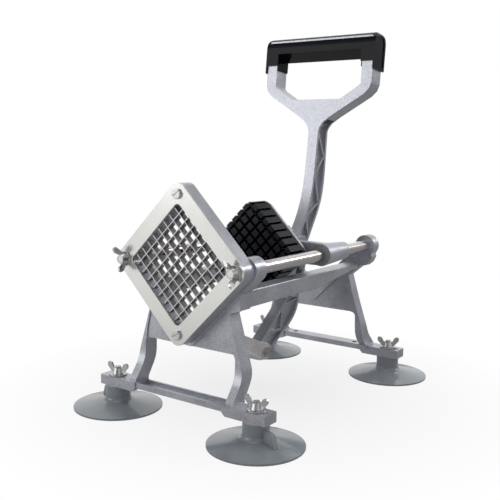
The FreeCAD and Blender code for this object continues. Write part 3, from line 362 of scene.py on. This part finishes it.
# Widths of the rounded edges. A piece named nowhere here keeps the mesh of its solid
ROUNDED = {
    0.001: ["blade_head_frame"],
    0.0008: ["side_rail_left", "side_rail_right"],
    0.0006: ["front_frame", "rear_frame", "pivot_strut", "lever_casting", "carriage", "blade_cover_plate"],
    0.0005: ["pusher_backing_plate", "cover_screws"],
    0.0004: ["rod_end_bolts", *cups, *wing_nuts],
    0.0003: ["handle_grip", "pusher_block", "foot_washers", "head_washers", "rod_end_washers"],
}
EDGE_WIDTHS = {name: width for width, names in ROUNDED.items() for name in names}
SAME_POINT = 0.00002
FLAT_ANGLE = math.radians(1.5)
EDGE_ANGLE = math.radians(28)


def less_block(mesh, place, low, high):
    """The mesh without what a block covers, its corners given in a placed frame."""
    low, high = Vector(low), Vector(high)
    from_unit_cube = place @ Matrix.Translation((low + high) / 2) @ Matrix.Diagonal((*(high - low), 1.0))
    block = bpy.data.meshes.new("block")
    shape = bmesh.new()
    bmesh.ops.create_cube(shape, size=1.0, matrix=from_unit_cube)
    shape.to_mesh(block)
    shape.free()
    body = in_scene("body_work", mesh)
    cutter = in_scene("block_work", block)
    cut = body.modifiers.new("cut", "BOOLEAN")
    cut.operation = "DIFFERENCE"
    cut.solver = "EXACT"
    cut.object = cutter
    done = bpy.data.meshes.new_from_object(body.evaluated_get(bpy.context.evaluated_depsgraph_get()))
    bpy.data.objects.remove(body)
    bpy.data.objects.remove(cutter)
    return done


def softened(name, width):
    """Put a copy of a CAD node with its edges rounded in the node's place."""
    mesh = nodes[name].data.copy()
    shape = bmesh.new()
    shape.from_mesh(mesh)
    bmesh.ops.remove_doubles(shape, verts=shape.verts, dist=SAME_POINT)
    shape.to_mesh(mesh)
    if name in CUTS:
        mesh = less_block(mesh, *CUTS[name])
        shape.clear()
        shape.from_mesh(mesh)
    # A much shorter edge than the rounding would hold the bevel back all over the piece
    bmesh.ops.remove_doubles(shape, verts=shape.verts, dist=width / 5)
    bmesh.ops.dissolve_limit(shape, angle_limit=FLAT_ANGLE, verts=shape.verts, edges=shape.edges)
    shape.to_mesh(mesh)
    shape.free()
    for face in mesh.polygons:
        face.use_smooth = True
    piece = in_scene(name + "_soft", mesh)
    bevel = piece.modifiers.new("rounded_edges", "BEVEL")
    bevel.width = width
    bevel.segments = 2
    bevel.limit_method = "ANGLE"
    bevel.angle_limit = EDGE_ANGLE
    flat = piece.modifiers.new("flat_faces", "WEIGHTED_NORMAL")
    flat.keep_sharp = True
    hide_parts(name)
    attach(piece, body_of(nodes[name])[0])
    paint(piece, FINISHES[name])


for name, obj in nodes.items():
    if name in EDGE_WIDTHS:
        softened(name, EDGE_WIDTHS[name])
    else:
        paint(obj, FINISHES[name])

# Floor. Its whiteness to the camera has a set share at one distance from its middle, and grows outwards
FLOOR_HALF_SIZE = 6
SHADOW_REACH = 0.22
WHITE_AT_REACH = 0.93
WHITENING_PER_METRE = 0.8
# In reflections the floor glows as painted light, brightest on one side, in front on the left
BRIGHT_SIDE = Vector((-0.6, -0.78, 0.0))
BRIGHTENING_PER_METRE = 1.5
DARKEST_REFLECTED = 0.3
SHARE_REFLECTED = 0.9


def paper_floor():
    """Floor that is white to the camera away from the object and keeps its soft shadow close by; in
    reflections it glows as painted light.
    """
    mesh = bpy.data.meshes.new("floor")
    shape = bmesh.new()
    bmesh.ops.create_grid(shape, x_segments=1, y_segments=1, size=FLOOR_HALF_SIZE)
    shape.to_mesh(mesh)
    shape.free()
    floor = in_scene("floor", mesh)
    paper = Finish("floor_paper", Base_Color=shade(0.5), Roughness=0.9, Specular_IOR_Level=0.05)
    seen = paper.add("ShaderNodeLightPath", {}, output="Is Camera Ray")
    mirrored = paper.add("ShaderNodeLightPath", {}, output="Is Glossy Ray")
    here = paper.place()
    distance = paper.add("ShaderNodeVectorMath", {"operation": "LENGTH"}, (here,), output="Value")
    fade = ((distance - SHADOW_REACH) * WHITENING_PER_METRE + WHITE_AT_REACH).clamp()
    # Painted light: in reflections the floor glows, brighter towards the front left and dimmer elsewhere
    bright = (paper.nearness(here, BRIGHT_SIDE) * BRIGHTENING_PER_METRE).clamp()
    reflected = bright * (1 - DARKEST_REFLECTED) + DARKEST_REFLECTED
    strength = reflected + seen * (1 - reflected)
    white = paper.add("ShaderNodeEmission", {}, {"Color": shade(1), "Strength": strength})
    lit = Value(paper, paper.shader.outputs[0])
    share = (seen * fade + mirrored * SHARE_REFLECTED).clamp()
    mixed = paper.add("ShaderNodeMixShader", {}, (share, lit, white))
    paper.put(paper.tree.nodes["Material Output"].inputs["Surface"], mixed)
    paint(floor, paper.material)


# Studio light all round. Each glow has its direction, the cosine of the angle from there at which it has
# faded out, and its level in the middle
DIM_LEVEL = 0.2
GLOWS = [((-0.6, -0.78, 0.05), 0.6, 0.8), ((-0.5, 0.8, 0.25), 0.4, 0.8), ((0.9, 0.1, 0.3), 0.3, 0.5)]


def studio_world():
    """Even dim light with soft glows low in front on the left, behind, and weaker on the right."""
    world = bpy.data.worlds.new("studio")
    bpy.context.scene.world = world
    world.use_nodes = True
    sky = Network(world.node_tree)
    seen = sky.add("ShaderNodeLightPath", {}, output="Is Camera Ray")
    looking = sky.add("ShaderNodeTexCoord", {}, output="Generated")
    level = DIM_LEVEL
    for towards, start, top in GLOWS:
        facing = sky.nearness(looking, Vector(towards).normalized())
        span = {"Value": facing, "From Min": start, "From Max": 1.0, "To Min": 0.0, "To Max": top}
        level = sky.add("ShaderNodeMapRange", {"interpolation_type": "SMOOTHSTEP"}, span, "Result") + level
    background = sky.tree.nodes["Background"]
    sky.put(background.inputs["Strength"], level.math("MAXIMUM", seen))
    sky.put(background.inputs["Color"], shade(1))


def soft_box(name, where, towards, size, power):
    """Rectangular lamp of a size in metres and a power in watts, facing a point."""
    lamp = bpy.data.lights.new(name, "AREA")
    lamp.shape = "RECTANGLE"
    lamp.size, lamp.size_y = size
    lamp.energy = power
    obj = in_scene(name, lamp)
    obj.location = where
    obj.rotation_euler = (Vector(towards) - Vector(where)).to_track_quat("-Z", "Y").to_euler()


paper_floor()
studio_world()
soft_box("key_light", (-1.2, -1.7, 0.7), towards=(0, 0, 0.15), size=(1.4, 1.1), power=6.5)
soft_box("top_light", (-0.1, 0.1, 1.8), towards=(0, 0, 0.1), size=(1.3, 1.3), power=9)
soft_box("edge_light", (0.9, 1.5, 1.0), towards=(0, 0, 0.15), size=(0.3, 0.5), power=6)

# Camera where the photograph was taken from
CAMERA_PLACE = (0.44625, -0.6562, 0.26175)
AZIMUTH = math.radians(35.35)
ELEVATION = math.radians(7.85)
ROLL = math.radians(0.87)
FOCAL_LENGTH_MM = 54.28
SENSOR_WIDTH_MM = 36


def photo_camera():
    """Camera at an azimuth from the front towards the right, looking down by an elevation, and rolled."""
    forward = Vector((-math.sin(AZIMUTH) * math.cos(ELEVATION), math.cos(AZIMUTH) * math.cos(ELEVATION),
                      -math.sin(ELEVATION)))
    level_right = forward.cross(Vector((0, 0, 1))).normalized()
    level_up = level_right.cross(forward)
    right = level_right * math.cos(ROLL) + level_up * math.sin(ROLL)
    up = level_up * math.cos(ROLL) - level_right * math.sin(ROLL)
    lens = bpy.data.cameras.new("camera")
    lens.sensor_width = SENSOR_WIDTH_MM
    lens.lens = FOCAL_LENGTH_MM
    camera = in_scene("camera", lens)
    turn = Matrix((right, up, -forward)).transposed()
    camera.matrix_world = Matrix.Translation(CAMERA_PLACE) @ turn.to_4x4()
    return camera


bpy.context.scene.camera = photo_camera()
bpy.context.scene.view_settings.view_transform = "Standard"
